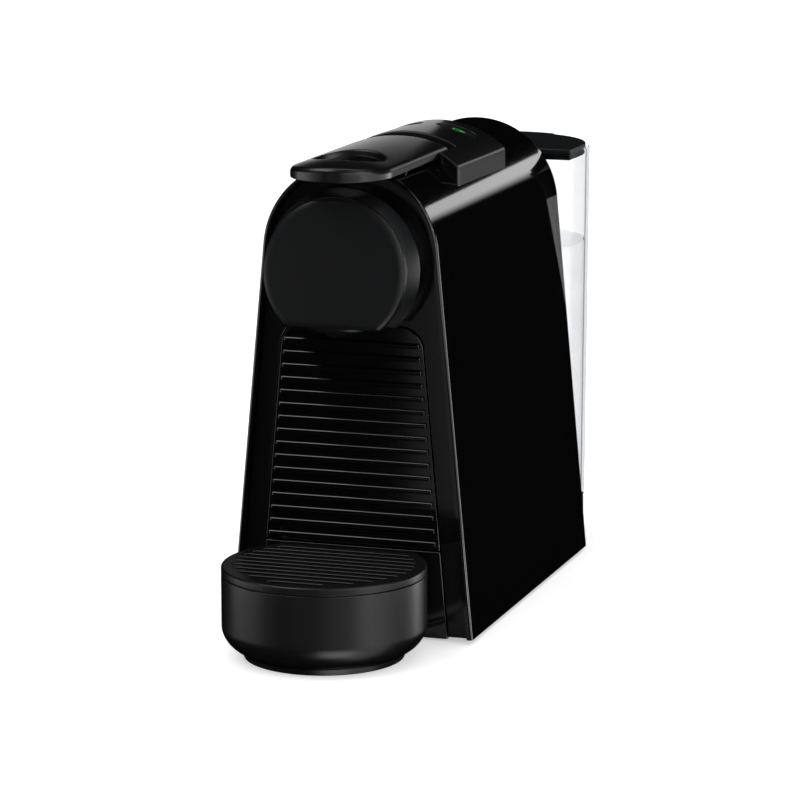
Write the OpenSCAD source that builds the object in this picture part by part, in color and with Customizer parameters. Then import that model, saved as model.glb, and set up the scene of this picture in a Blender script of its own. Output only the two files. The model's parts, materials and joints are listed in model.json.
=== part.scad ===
// Capsule coffee machine, millimetres, +Z up, front towards -Y.
// Origin: centre of the footprint, on the surface that the machine stands on.

/* [Outer shell] */
// Length of the arched shell from its front rim to its rear edge
shell_len = 181; // [176:1:190]
// Radius of the arched top
arch_r = 38.3; // [37.8:0.1:38.8]
// Height of the arch centre above the table
arch_z = 161.8; // [161.4:0.1:162.2]
// Outward lean of each side wall in degrees
leg_lean = 5.4; // [5:0.1:5.8]
// Wall thickness of the shell
shell_t = 2.4; // [2:0.1:2.8]

/* [Brew head] */
// Radius of the head drum
drum_r = 33.15; // [32.8:0.05:33.3]
// Radius of the front cover
cover_r = 30.7; // [30.2:0.1:31]
// Height of the head centre
head_z = 157.5; // [157:0.1:158]
// Backward lean of the cover's face in degrees
face_lean = 7; // [5:0.5:8]

/* [Lever] */
// Width of the lever plate
lever_w = 43; // [42:0.5:43]
// How far the lever opens in degrees
lever_open = 80; // [70:1:80]
// Radius of the finger hole's bevelled edge
finger_r = 14.8; // [13.5:0.1:15]

/* [Drip tray] */
// Outer radius of the round tray
tray_r = 42.3; // [42:0.1:42.4]
// Height of the grid's top
grid_z = 38.5; // [38.3:0.1:38.6]
// Number of slots in the grid
slot_count = 13; // [9:2:13]

/* [Water tank] */
// Outer radius of the tank's round back
tank_r = 45; // [43:0.5:47]
// Height of the tank's rim
tank_z = 184.5; // [180:0.5:186]
// Wall thickness of the tank
tank_t = 1.8; // [1.6:0.1:2.2]

/* [Capsule container] */
// Number of ribs on the container's front
rib_count = 16; // [10:1:16]
// Distance from one rib to the next
rib_pitch = 5.546; // [5.3:0.01:5.55]

/* [Hidden] */
$fn = 96;
eps = 0.01;
hair = 0.02;
// front rim and rear edge of the shell
front_y = -87.5;
rear_y = front_y + shell_len;
shell_z0 = 2;
base_z0 = 1.5;
base_z1 = 4.5;
// round tray centre and the straight cut at its back
tray_y = -120.2;
tray_cut_y = -88.2;
tray_z1 = grid_z - 3.4;
tray_wall = 2;
// front panel of the container and of the drawer below it
panel_y = -84.9;
panel_t = 2.2;
panel_top_z = 132;
panel_seam_z = 38.6;
container_z0 = 39.2;
container_back_y = -32;
rail_x = 42;
base_rib_z = 10;
// a panel follows the lean of the side walls
panel_half_top = 30.4;
panel_slope = 0.0877;
function panel_half(z) = panel_half_top + panel_slope * (panel_top_z - z);
// fascia plate behind the front rim
fascia_y0 = -84.7;
fascia_y1 = -82.4;
// head parts along Y
drum_y0 = -94.8;
head_wall = 2.2;
cover_back_y = -95.2;
cover_face_y = -109.4;
drum_floor_z = 133.2;
cover_floor_z = 134.4;
spout_y = -103.5;
spout_tube_r = 5;
spout_tip_z = 130.4;
// lever pivot and plate
piv_y = -23.1;
piv_z = 193.5;
pin_r = 2;
run_gap = 0.05;
lever_half = lever_w / 2;
lever_arch_r = 58;
lever_top_z = 204.2;
lever_t = 2.4;
lever_skirt_z = 196.2;
lever_skirt_t = 2.2;
lever_front_y = -95.5;
lever_slope = 0.6;
finger_y = front_y;
arm_x0 = 14.3;
arm_x1 = 16.9;
// crank on the lever: radius and angle when closed, before and after the plate's slope
crank_r = 11;
crank_a0 = -62.6;
crank_a = crank_a0 + lever_slope;
crank_pin_end = 20.2;
// rocker between the crank and the capsule cage
rock_y = -26;
rock_z = 176;
rock_x0 = 17.6;
rock_x1 = 20.1;
rock_pin_r = 2.5;
rock_ratio = 0.93;
slot_gap = 0.15;
// play of the pins in the rocker's fork and slot, and the fork's outer radius
crank_play = 1.3;
cage_play = 1.2;
fork_r = 13.2;
// capsule cage: stroke and pin line
cage_stroke = 30;
cage_pin_z = 157;
cage_pin_y = rock_y - cage_stroke / 2;
cage_z = 158;
cage_front_y = -79;
cage_back_y = -47;
cage_r = 18.6;
cage_flat = 16.8;
cage_bore_r = 15.6;
// brew frame side plates
frame_x0 = 20.6;
frame_x1 = 23;
frame_front_y = -82.4;
frame_back_y = 2;
frame_z0 = 137;
frame_z1 = 181;
// saddle over the arch
saddle_r = 45;
saddle_top_z = 205;
saddle_half = 30.5;
saddle_t = 2.2;
ear_y0 = -34.5;
// front edge of the shell's bridge between the capsule opening and the pivot
bridge_y = -40;
saddle_y0 = -11.4;
saddle_y1 = 36.5;
// coffee buttons
button_x = 12.5;
button_y = 20.5;
button_w = 18.4;
button_d = 10.4;
button_drop = 0.7;
board_z = 187;
// tank behind the shell
tank_back_y = 162.5;
tank_y = tank_back_y - tank_r;
tank_y0 = 95.3;
tank_z0 = 18;
dock_z1 = 17.6;
lid_plug = 3.4;
// inner hydraulics
pump_y = 38;
pump_z = 26;
heater_z = 104;
meter_x = 22;
meter_y = 71;
meter_z = 20;
cord_x = -37;
cord_z = 10.5;
cord_r = 3.6;

// ---------- helpers ----------

// extrude a profile drawn in x and z along Y from y0 to y1
module along_y(y0, y1) {
  translate([0, y1, 0]) rotate([90, 0, 0]) linear_extrude(y1 - y0) children();
}

// extrude a profile drawn in y and z along X from x0 to x1
module along_x(x0, x1) {
  translate([x0, 0, 0]) rotate([90, 0, 90]) linear_extrude(x1 - x0) children();
}

// round bar along X or Y
module bar_x(r, x0, x1, y, z) {
  translate([x0, y, z]) rotate([0, 90, 0]) cylinder(r = r, h = x1 - x0);
}

module bar_y(r, y0, y1, x, z) {
  translate([x, y1, z]) rotate([90, 0, 0]) cylinder(r = r, h = y1 - y0);
}

module block(x0, x1, y0, y1, z0, z1) {
  translate([x0, y0, z0]) cube([x1 - x0, y1 - y0, z1 - z0]);
}

module both_sides() {
  children();
  mirror([1, 0, 0]) children();
}

// solid arch from y0 to y1, moved inwards by t, with its legs cut at height z0
module arch(t, z0, y0, y1) {
  r = arch_r - t;
  xt = r * cos(leg_lean);
  zt = arch_z + r * sin(leg_lean);
  xb = xt + (zt - z0) * tan(leg_lean);
  bar_y(r, y0, y1, 0, arch_z, $fn = 180);
  // the legs stand a hair outside the round top, so that the surfaces cross cleanly
  along_y(y0, y1) polygon([[-xt - hair, zt], [xt + hair, zt], [xb + hair, z0], [-xb - hair, z0]]);
}

// panel with leaning sides and two round upper corners of radius r
module panel2d(z0, z1, r, gap) {
  a = panel_half(z0) - gap;
  b = panel_half(z1 - r) - gap;
  c = b - r;
  polygon([[-a, z0], [a, z0], [b, z1 - r], [c, z1 - r + eps], [c, z1], [-c, z1], [-c, z1 - r + eps], [-b, z1 - r]]);
  for (s = [-1, 1]) translate([s * c, z1 - r]) circle(r = r);
}

// tank outline: straight front, round back, moved inwards by t
module tank2d(t) {
  r = tank_r - t;
  intersection() {
    translate([0, tank_y]) circle(r = r, $fn = 180);
    translate([-r, tank_y]) square([2 * r, r]);
  }
  translate([-r, tank_y0 + t]) square([2 * r, tank_y - tank_y0 - t]);
}

// smooth curve through a list of points
function between(p, i, t) =
  let (a = p[max(i - 1, 0)], b = p[i], c = p[i + 1], d = p[min(i + 2, len(p) - 1)])
  0.5 * (2 * b + (c - a) * t + (2 * a - 5 * b + 4 * c - d) * t * t + (3 * b - a - 3 * c + d) * t * t * t);
function smooth(p, n) = concat([for (i = [0 : len(p) - 2], k = [0 : n - 1]) between(p, i, k / n)], [p[len(p) - 1]]);
function unit(v) = v / norm(v);
function heading(p, i) = unit(p[min(i + 1, len(p) - 1)] - p[max(i - 1, 0)]);

// hose: one closed skin swept along a smooth curve, with flat ends
module hose(points, r) {
  sides = 10;
  path = smooth(points, 4);
  last = len(path) - 1;
  rings = [for (i = [0 : last])
    let (t = heading(path, i), u = unit(cross(t, [0.9, 0.1, 0.2])), v = cross(t, u))
    for (k = [0 : sides - 1]) path[i] + r * (cos(360 * k / sides) * u + sin(360 * k / sides) * v)];
  skin = [for (i = [0 : last - 1], k = [0 : sides - 1])
    let (a = i * sides + k, b = i * sides + (k + 1) % sides)
    each [[a, a + sides, b + sides], [a, b + sides, b]]];
  polyhedron(rings, concat(skin,
    [[for (k = [0 : sides - 1]) k], [for (k = [sides - 1 : -1 : 0]) last * sides + k]]));
}

// ---------- casing ----------

module outer_shell() color([0.02, 0.02, 0.022]) difference() {
  arch(0, shell_z0, front_y, rear_y);
  arch(shell_t, shell_z0 - 1, front_y - 1, rear_y + 1);
  // capsule opening under the lever
  block(-20.5, 20.5, front_y + 6.5, bridge_y, 180, 210);
  // opening under the saddle for the lever's pivot
  block(-26, 26, ear_y0 + 1, -3, 184, 210);
  // opening under the buttons
  block(-23, 23, 8, 33, 186, 210);
}

module front_fascia() color([0.03, 0.03, 0.032]) difference() {
  arch(shell_t + 0.15, base_z1 + 0.4, fascia_y0, fascia_y1);
  along_y(fascia_y0 - 1, fascia_y1 + 1) union() {
    panel2d(-1, panel_top_z + 0.7, 10.7, -0.7);
    translate([0, head_z]) circle(r = drum_r - head_wall - 0.2);
  }
}

module base_plate() color([0.05, 0.05, 0.052]) difference() {
  union() {
    difference() {
      arch(shell_t + 0.15, base_z0, -82, rear_y - 0.2);
      block(-70, 70, -90, rear_y + 1, base_z1, 250);
    }
    // ribs that guide the drawer
    both_sides() block(rail_x - 1.8, rail_x, -80, -20, base_z1 - eps, base_rib_z);
  }
  // foot recesses and screw holes
  both_sides() for (y = [-68, 80]) {
    translate([40, y, base_z0 - 1]) cylinder(r = 7.02, h = 1.8);
    translate([30, y, base_z0 - 1]) cylinder(r = 1.8, h = 6);
  }
}

module rubber_feet() color([0.08, 0.08, 0.08]) both_sides() for (y = [-68, 80])
  translate([40, y, 0]) cylinder(r = 7, h = base_z0 + 0.8);

module base_screws() color([0.6, 0.6, 0.62]) both_sides() for (y = [-68, 80]) {
  translate([30, y, 1.1]) cylinder(r = 3, h = 0.4);
  translate([30, y, 1.4]) cylinder(r = 1.75, h = 3);
}

module rear_cover() color([0.03, 0.03, 0.032]) difference() {
  arch(shell_t + 0.15, base_z1 + 0.1, rear_y - 2.2, rear_y);
  // gap for the tank's outlet hose, and the seat of the cord's gland
  bar_y(5, rear_y - 4, rear_y + 2, 0, 12);
  bar_y(cord_r + 1.4, rear_y - 4, rear_y + 2, cord_x, cord_z);
  for (z = [60 : 9 : 132], x = [-18, 0, 18]) bar_y(1.6, rear_y - 4, rear_y + 2, x, z);
}

module cord_gland() color([0.05, 0.05, 0.05]) difference() {
  union() {
    bar_y(cord_r + 1.4, rear_y - 2.2, rear_y, cord_x, cord_z);
    bar_y(cord_r + 2.2, rear_y - 4.2, rear_y - 2.2, cord_x, cord_z);
    bar_y(cord_r + 2.2, rear_y, rear_y + 1.2, cord_x, cord_z);
  }
  bar_y(cord_r, rear_y - 6, rear_y + 3, cord_x, cord_z);
}

// ---------- brew head ----------

// disc with a flat bottom, radius r, cut at height z
module flat_disc2d(r, z) intersection() {
  translate([0, head_z]) circle(r = r, $fn = 180);
  translate([-r, z]) square([2 * r, 2 * r]);
}

module head_drum() color([0.03, 0.03, 0.032]) difference() {
  along_y(drum_y0, fascia_y0) flat_disc2d(drum_r, drum_floor_z);
  along_y(drum_y0 - 1, fascia_y0 - head_wall) flat_disc2d(drum_r - head_wall, drum_floor_z + head_wall);
  bar_y(17.4, drum_y0, fascia_y1, 0, cage_z);
}

module head_cover() color([0.03, 0.03, 0.032]) difference() {
  union() {
    difference() {
      along_y(cover_face_y - 8, cover_back_y) flat_disc2d(cover_r, cover_floor_z);
      translate([0, cover_face_y, head_z]) rotate([-face_lean, 0, 0]) translate([-50, -40, -60]) cube([100, 40, 120]);
    }
    along_y(cover_back_y - 1, cover_back_y + 6)
      flat_disc2d(drum_r - head_wall - 0.15, drum_floor_z + head_wall + 0.15);
  }
  difference() {
    along_y(cover_face_y - 8, cover_back_y + 8)
      flat_disc2d(cover_r - head_wall - 0.4, cover_floor_z + head_wall + 0.4);
    translate([0, cover_face_y + head_wall, head_z]) rotate([-face_lean, 0, 0])
      translate([-50, -40, -60]) cube([100, 40, 120]);
  }
  translate([0, spout_y, 130]) cylinder(r = spout_tube_r + 0.3, h = 8);
}

module spout() color([0.04, 0.04, 0.04]) difference() {
  union() {
    // wide saucer under the head with a short nozzle
    intersection() {
      translate([0, spout_y, cover_floor_z - 10]) cylinder(r1 = 4, r2 = 13.2, h = 10);
      block(-13.2, 13.2, spout_y - 6.6, spout_y + 8, 132.3, cover_floor_z);
    }
    translate([0, spout_y, spout_tip_z]) cylinder(r1 = 3.6, r2 = 5.6, h = 2);
    translate([0, spout_y, spout_tip_z + 2 - eps]) cylinder(r = spout_tube_r, h = 10);
  }
  translate([0, spout_y, spout_tip_z - 1]) cylinder(r = 2.4, h = 20);
}

module outlet_duct() color([0.1, 0.1, 0.1]) difference() {
  union() {
    translate([0, spout_y + 0.6, 142.4]) cylinder(r = 4.6, h = 10);
    bar_y(4.2, spout_y + 0.6, -84.6, 0, 148);
    bar_y(15.4, -84.6, frame_front_y, 0, cage_z);
  }
  translate([0, spout_y + 0.6, 142]) cylinder(r = 3, h = 7);
  bar_y(2.4, spout_y + 0.6, -83, 0, 148);
  bar_y(12, -83.6, -80, 0, cage_z);
}

// ---------- saddle and buttons ----------

module saddle2d(t) intersection() {
  translate([0, saddle_top_z - saddle_r]) circle(r = saddle_r - t, $fn = 180);
  translate([-saddle_half + t, 180]) square([2 * (saddle_half - t), 30]);
}

module button2d(gap) {
  half = button_w / 2 - gap;
  r = button_d / 2 - gap;
  for (s = [-1, 1]) translate([s * (half - r), 0]) circle(r = r);
  square([2 * (half - r), 2 * r], center = true);
}

module control_saddle() color([0.04, 0.04, 0.042]) difference() {
  union() {
    // arched cover
    difference() {
      along_y(saddle_y0, saddle_y1) saddle2d(0);
      along_y(saddle_y0 - 1, saddle_y1 - saddle_t) saddle2d(saddle_t);
    }
    // two ears that carry the lever's pin, and the outer walls
    both_sides() intersection() {
      along_y(ear_y0, saddle_y1) saddle2d(0);
      union() {
        block(21.9, 24.4, ear_y0, -9, 185.4, 210);
        block(21.9, saddle_half, ear_y0, ear_y0 + 2.4, 180, 210);
        block(saddle_half - saddle_t, saddle_half, ear_y0, saddle_y1, 180, 210);
      }
    }
    both_sides() intersection() {
      along_y(ear_y0, saddle_y0 + 1) difference() {
        saddle2d(0);
        saddle2d(saddle_t);
      }
      block(21.9, saddle_half, ear_y0, saddle_y0 + 1, 190, 210);
    }
  }
  // seat on the arched shell, with the ears' inner walls passing through its opening
  difference() {
    along_y(ear_y0 - 1, saddle_y1 + 1) translate([0, arch_z]) circle(r = arch_r + 0.02, $fn = 180);
    both_sides() block(21.8, 24.5, ear_y0 + 1.4, -3.4, 185.4, 200);
  }
  // pin bore, button openings and the shallow panel on each ear's front
  bar_x(pin_r, -25, 25, piv_y, piv_z);
  for (s = [-1, 1]) translate([s * button_x, button_y, 195]) linear_extrude(15) button2d(0);
  both_sides() block(23.3, 29.1, ear_y0 - 1, ear_y0 + 0.8, 189, 196.2);
  // room for the lever's round back
  bar_x(11.4, -21.9, 21.9, piv_y, piv_z);
}

module lever_pin() color([0.7, 0.7, 0.72]) bar_x(pin_r, -24.9, 24.9, piv_y, piv_z);

module button_body() {
  difference() {
    intersection() {
      translate([button_x, button_y, 196.4]) linear_extrude(12) button2d(0.2);
      along_y(0, 40) translate([0, saddle_top_z - saddle_r]) circle(r = saddle_r - button_drop, $fn = 180);
    }
    translate([button_x, button_y, 196]) cylinder(r = 2.1, h = 5.2);
  }
  // collar that keeps the button under the saddle, and the stem that presses the switch
  translate([button_x, button_y, 195.6]) difference() {
    linear_extrude(0.9) button2d(-0.6);
    translate([0, 0, -1]) cylinder(r = 2.1, h = 3);
  }
  translate([button_x, button_y, 193.4]) difference() {
    cylinder(r = 3.4, h = 3.2);
    translate([0, 0, -1]) cylinder(r = 2.1, h = 6);
  }
}

module long_button() color([0.03, 0.03, 0.03]) button_body();

module short_button() color([0.03, 0.03, 0.03]) mirror([1, 0, 0]) button_body();

module button_lights() color([0.2, 0.8, 0.25]) both_sides()
  translate([button_x, button_y, board_z + 1.6]) cylinder(r = 1.7, h = 11.6);

module button_switches() color([0.2, 0.2, 0.2]) both_sides()
  translate([button_x, button_y, board_z + 1.6]) difference() {
    cylinder(r = 3.8, h = 3.5);
    translate([0, 0, -1]) cylinder(r = 1.9, h = 8);
  }

module control_board() color([0.1, 0.3, 0.15]) block(-22, 22, 6, 35, board_z, board_z + 1.6);

// ---------- lever ----------

module lever_plan(t) {
  translate([0, lever_front_y]) circle(r = lever_half - t, $fn = 128);
  translate([-lever_half + t, lever_front_y]) square([lever_w - 2 * t, piv_y - lever_front_y]);
}

module lever_arch2d(t) intersection() {
  translate([0, lever_top_z - lever_arch_r]) circle(r = lever_arch_r - t, $fn = 256);
  translate([-lever_half - 1, 180]) square([lever_w + 2, 40]);
}

// round back of the lever: the arch profile turned about the pivot
module lever_back() translate([0, piv_y, piv_z]) rotate([0, -90, 0]) rotate_extrude(angle = 90, $fn = 128)
  intersection() {
    difference() {
      translate([lever_top_z - piv_z - lever_arch_r, 0]) circle(r = lever_arch_r, $fn = 256);
      translate([lever_top_z - piv_z - lever_arch_r, 0]) circle(r = lever_arch_r - lever_t, $fn = 256);
    }
    translate([2, -lever_half]) square([20, lever_w]);
  }

module lever_top() difference() {
  intersection() {
    along_y(-140, piv_y) lever_arch2d(0);
    translate([0, 0, lever_skirt_z]) linear_extrude(20) lever_plan(0);
  }
  intersection() {
    along_y(-141, piv_y + 1) lever_arch2d(lever_t);
    translate([0, 0, 150]) linear_extrude(100) lever_plan(lever_skirt_t);
  }
}

module crank_arm() along_x(arm_x0, arm_x1) difference() {
  union() {
    translate([piv_y, piv_z]) circle(r = 4.6);
    translate([piv_y, piv_z]) rotate(crank_a0) {
      translate([0, -4]) square([crank_r, 8]);
      translate([crank_r, 0]) circle(r = 4);
    }
    polygon([[piv_y - 10.1, 196.6], [piv_y - 4, piv_z - 2], [piv_y + 4.6, piv_z], [piv_y + 4.6, 200.9],
      [piv_y - 10.1, 200.7]]);
  }
  translate([piv_y, piv_z]) circle(r = pin_r + run_gap);
  translate([piv_y, piv_z]) rotate(crank_a0) translate([crank_r, 0]) circle(r = pin_r);
}

// whole lever before its plate is tipped slightly down to the front
module lever_body() difference() {
  union() {
    lever_top();
    lever_back();
    both_sides() crank_arm();
    // bosses on the pin, next to the ears
    both_sides() along_x(arm_x1 - eps, lever_half - 0.1) translate([piv_y, piv_z]) circle(r = 3.6);
    // collar around the finger hole
    intersection() {
      translate([0, finger_y, lever_skirt_z + 1.6]) cylinder(r = 17, h = 10);
      along_y(-140, -60) lever_arch2d(0.6);
      translate([0, 0, lever_skirt_z]) linear_extrude(20) lever_plan(0.5);
    }
  }
  translate([0, finger_y, 190]) cylinder(r = 11, h = 20);
  translate([0, finger_y, 198.6]) cylinder(r1 = 11, r2 = finger_r + 0.5, h = 5);
  bar_x(pin_r + run_gap, -25, 25, piv_y, piv_z);
}

module lever() color([0.04, 0.04, 0.042]) difference() {
  translate([0, piv_y, piv_z]) rotate([lever_slope, 0, 0]) translate([0, -piv_y, -piv_z]) lever_body();
  // room for the shell's front rim under the finger hole's collar
  bar_y(arch_r + 0.4, front_y - 0.5, -60, 0, arch_z);
}

module crank_pins() color([0.7, 0.7, 0.72]) both_sides()
  bar_x(pin_r, arm_x0, crank_pin_end, piv_y + crank_r * cos(crank_a), piv_z + crank_r * sin(crank_a));

// ---------- rocker and capsule cage ----------

// turn a point in the y-z plane about the rocker's pivot
function turned(p, a) = [p[0] * cos(a) - p[1] * sin(a), p[0] * sin(a) + p[1] * cos(a)];
// crank pin and cage pin from the rocker's pivot, when the lever is open by t degrees
function crank_rel(t) = [piv_y - rock_y + crank_r * cos(crank_a - t), piv_z - rock_z + crank_r * sin(crank_a - t)];
function cage_rel(t) = [cage_pin_y - rock_y + cage_stroke * t / lever_open, cage_pin_z - rock_z];
// the same points as the turning rocker sees them
function crank_track(t) = turned(crank_rel(t), -rock_ratio * t);
function cage_track(t) = turned(cage_rel(t), -rock_ratio * t);

// straight slot of half width r, from distance a to distance b at an angle
module slot2d(angle, a, b, r) rotate(angle) {
  for (d = [a, b]) translate([d, 0]) circle(r = r, $fn = 48);
  translate([a, -r]) square([b - a, 2 * r]);
}

module rocker2d() {
  crank_near = norm(crank_track(lever_open / 2));
  crank_far = max(norm(crank_track(0)), norm(crank_track(lever_open)));
  crank_mid = crank_track(lever_open / 2) + crank_track(0);
  crank_angle = atan2(crank_mid[1], crank_mid[0]);
  cage_near = norm(cage_track(lever_open / 2));
  cage_far = max(norm(cage_track(0)), norm(cage_track(lever_open)));
  cage_mid = cage_track(0) + cage_track(lever_open);
  cage_angle = atan2(cage_mid[1], cage_mid[0]);
  difference() {
    union() {
      intersection() {
        slot2d(crank_angle, 0, crank_far, pin_r + crank_play + 2);
        circle(r = fork_r);
      }
      slot2d(cage_angle, 0, cage_far, pin_r + cage_play + 2);
    }
    circle(r = rock_pin_r + run_gap);
    slot2d(crank_angle, crank_near, crank_far + 9, pin_r + crank_play);
    slot2d(cage_angle, cage_near, cage_far, pin_r + cage_play);
  }
}

module rocker_plate() along_x(rock_x0, rock_x1) translate([rock_y, rock_z]) rocker2d();

module rocker_left() color([0.55, 0.55, 0.57]) mirror([1, 0, 0]) rocker_plate();

module rocker_right() color([0.55, 0.55, 0.57]) rocker_plate();

module rocker_pins() color([0.7, 0.7, 0.72]) both_sides() bar_x(rock_pin_r, 17.3, frame_x1, rock_y, rock_z);

module capsule_cage() color([0.15, 0.15, 0.16]) difference() {
  union() {
    intersection() {
      bar_y(cage_r, cage_front_y, cage_back_y, 0, cage_z);
      block(-cage_flat, cage_flat, cage_front_y, cage_back_y, 130, 190);
    }
    block(-9, 9, cage_back_y - eps, cage_pin_y + 5, cage_pin_z - 6, cage_pin_z + 6);
  }
  bar_y(cage_bore_r, cage_front_y - 1, cage_front_y + 26, 0, cage_z);
  translate([0, cage_front_y + 26, cage_z]) rotate([-90, 0, 0]) cylinder(r1 = cage_bore_r, r2 = 9, h = 2.5);
  bar_x(pin_r, -10, 10, cage_pin_y, cage_pin_z);
  // water way through the tail
  bar_y(1.6, cage_front_y + 27, cage_back_y + 4, 0, cage_pin_z + 3.4);
}

module cage_pin() color([0.7, 0.7, 0.72]) bar_x(pin_r, -22.8, 22.8, cage_pin_y, cage_pin_z);

module inlet_needles() color([0.75, 0.75, 0.77]) for (a = [90, 210, 330])
  translate([5 * cos(a), cage_front_y + 28.5, cage_z + 5 * sin(a)]) rotate([90, 0, 0])
    cylinder(r1 = 1.2, r2 = 0.2, h = 6, $fn = 16);

module brew_frame() color([0.12, 0.12, 0.13]) difference() {
  union() {
    both_sides() block(frame_x0, frame_x1, frame_front_y, frame_back_y, frame_z0, frame_z1);
    block(-frame_x1, frame_x1, frame_front_y, -79.9, frame_z0, frame_z1);
    // rear bridge and rear floor under the cage's tail
    block(-frame_x1, frame_x1, -1, frame_back_y, frame_z0, frame_z1 - 8);
    block(-frame_x1, frame_x1, -46, frame_back_y, frame_z0 - 2.4, frame_z0 + eps);
    // lugs that rest on the fascia's back
    both_sides() block(frame_x1 - eps, 29, frame_front_y, -80, 160, 170);
  }
  bar_y(17.2, -84, -79, 0, cage_z);
  bar_y(5, -2, 4, 0, cage_z);
  // straight guides for the cage's pin, and the rocker's pivot bores
  along_x(-30, 30) {
    y0 = cage_pin_y;
    for (y = [y0, y0 + cage_stroke]) translate([y, cage_pin_z]) circle(r = pin_r + slot_gap);
    translate([y0, cage_pin_z - pin_r - slot_gap]) square([cage_stroke, 2 * (pin_r + slot_gap)]);
    translate([rock_y, rock_z]) circle(r = rock_pin_r);
  }
}

module pierce_plate() color([0.75, 0.75, 0.76]) difference() {
  union() {
    bar_y(17.2, frame_front_y, -80.9, 0, cage_z);
    // small square pyramids that open the capsule's foil
    for (i = [-3 : 3], j = [-3 : 3]) if (norm([i, j]) < 3.2)
      translate([i * 3.4, -80.9, cage_z + j * 3.4]) rotate([-90, 0, 0]) cylinder(r1 = 1.5, r2 = 0.4, h = 1.2, $fn = 4);
  }
  for (i = [-2.5 : 2.5], j = [-2.5 : 2.5]) if (norm([i, j]) < 3)
    bar_y(0.7, -84, -79, i * 3.4, cage_z + j * 3.4);
}

module plate_seal() color([0.3, 0.1, 0.08]) difference() {
  bar_y(17.2, -80.9, -79.7, 0, cage_z);
  bar_y(15.2, -82, -79, 0, cage_z);
}

module capsule_guide() color([0.1, 0.1, 0.1]) {
  // side rails between the shell's opening and the container
  both_sides() block(19, 20.4, -79.7, -49.6, 136, 190);
  // sloping back of the drop chute under the cage
  block(-22.8, 22.8, -49.4, -47.4, 121, 134.4);
  both_sides() block(21, 22.8, -79.7, -49.4, 121, 136.8);
}

// ---------- drip tray, grid and container ----------

// round part of the tray, or a shape inside it, behind a wall of thickness t
module tray_bowl(t, z0, z1) {
  foot_r = 33;
  curve = 12;
  rotate_extrude($fn = 180) intersection() {
    union() {
      translate([0, curve]) square([tray_r - t, 60]);
      square([foot_r - t / 2, curve + eps]);
      intersection() {
        translate([foot_r - t / 2, curve]) scale_corner(tray_r - t - foot_r + t / 2, curve);
        square([tray_r - t, curve + eps]);
      }
    }
    translate([0, z0]) square([60, z1 - z0]);
  }
}

// quarter-round corner made of a circle of the corner's height
module scale_corner(w, h) {
  r = (w * w + h * h) / (2 * w);
  translate([w - r, 0]) circle(r = r, $fn = 180);
}

module tray_front(t, z0, z1) intersection() {
  translate([0, tray_y, 0]) tray_bowl(t, z0, z1);
  block(-60, 60, -200, tray_cut_y - t, -1, 60);
}

module drip_tray() color([0.03, 0.03, 0.03]) difference() {
  union() {
    tray_front(0, 0, tray_z1);
    // neck and drawer that run back under the container
    block(-27, 27, tray_cut_y - eps, panel_y + 1, 0.6, tray_z1);
    along_y(panel_y, panel_y + panel_t) panel2d_low();
    block(-38.8, 38.8, panel_y + eps, container_back_y, base_z1 + 0.4, 36.6);
  }
  tray_front(tray_wall, 3, 60);
  block(-36.8, 36.8, panel_y + panel_t, container_back_y - 2, 7, 60);
  block(-25, 25, tray_cut_y - 8, panel_y + 6, 12, 60);
}

// front panel of the drawer, under the container's panel
module panel2d_low() {
  a = panel_half(1);
  b = panel_half(panel_seam_z - 0.6);
  polygon([[-a, 1], [a, 1], [b, 38], [-b, 38]]);
}

module drip_grid() color([0.03, 0.03, 0.03]) difference() {
  tray_front(0, tray_z1 + 0.15, grid_z);
  pitch = 5.8;
  depth = 3;
  for (i = [0 : slot_count - 1]) {
    y = tray_y - (slot_count - 1) / 2 * pitch + i * pitch;
    reach = sqrt(max(1, pow(tray_r - 4, 2) - pow(abs(y - tray_y) + depth / 2, 2)));
    if (y + depth < tray_cut_y - 1) block(-reach, reach, y - depth / 2, y + depth / 2, 30, 45);
  }
}

module capsule_container() color([0.03, 0.03, 0.03]) difference() {
  union() {
    along_y(panel_y, panel_y + panel_t) panel2d(panel_seam_z, panel_top_z, 10, 0);
    // ribs
    for (i = [0 : rib_count - 1]) {
      z = 124.7 - i * rib_pitch;
      half = panel_half(z) - 1.2;
      block(-half, half, panel_y - 1.3, panel_y + eps, z - 1.1, z + 1.1);
    }
    // bin, and the flanges it runs in on
    block(-29.5, 29.5, panel_y + panel_t - eps, container_back_y, container_z0, 118);
    block(-38.2, 38.2, panel_y + panel_t - eps, container_back_y, container_z0, container_z0 + 1.6);
  }
  // clearance for the spout in the panel's top edge
  along_y(panel_y - 2, panel_y + panel_t + 1) translate([0, panel_top_z + 4.6]) circle(r = 7.5);
  block(-27.7, 27.7, panel_y + panel_t, container_back_y - 1.8, container_z0 + 1.8, 140);
}

// ledges above the drawer that carry the container's flanges
module container_rails() color([0.12, 0.12, 0.13]) both_sides() {
  block(rail_x - 1.8, rail_x, -80, container_back_y, base_rib_z, container_z0 - 0.3);
  block(36.3, rail_x, -80, container_back_y, container_z0 - 2.3, container_z0 - 0.3);
}

// ---------- water tank ----------

module water_tank() color([0.85, 0.9, 0.95, 0.35]) difference() {
  union() {
    translate([0, 0, tank_z0]) linear_extrude(tank_z - tank_z0) tank2d(0);
    // spigot that drops into the dock
    translate([0, tank_y, 10]) cylinder(r = 8, h = tank_z0 - 10 + eps);
  }
  translate([0, 0, tank_z0 + 2.4]) linear_extrude(200) tank2d(tank_t);
  translate([0, tank_y, 5]) cylinder(r = 6, h = 20);
}

module tank_handle_rib() color([0.85, 0.9, 0.95, 0.35])
  both_sides() block(18, 20, tank_y0 + tank_t, tank_y0 + tank_t + 3, 30, 150);

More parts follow.
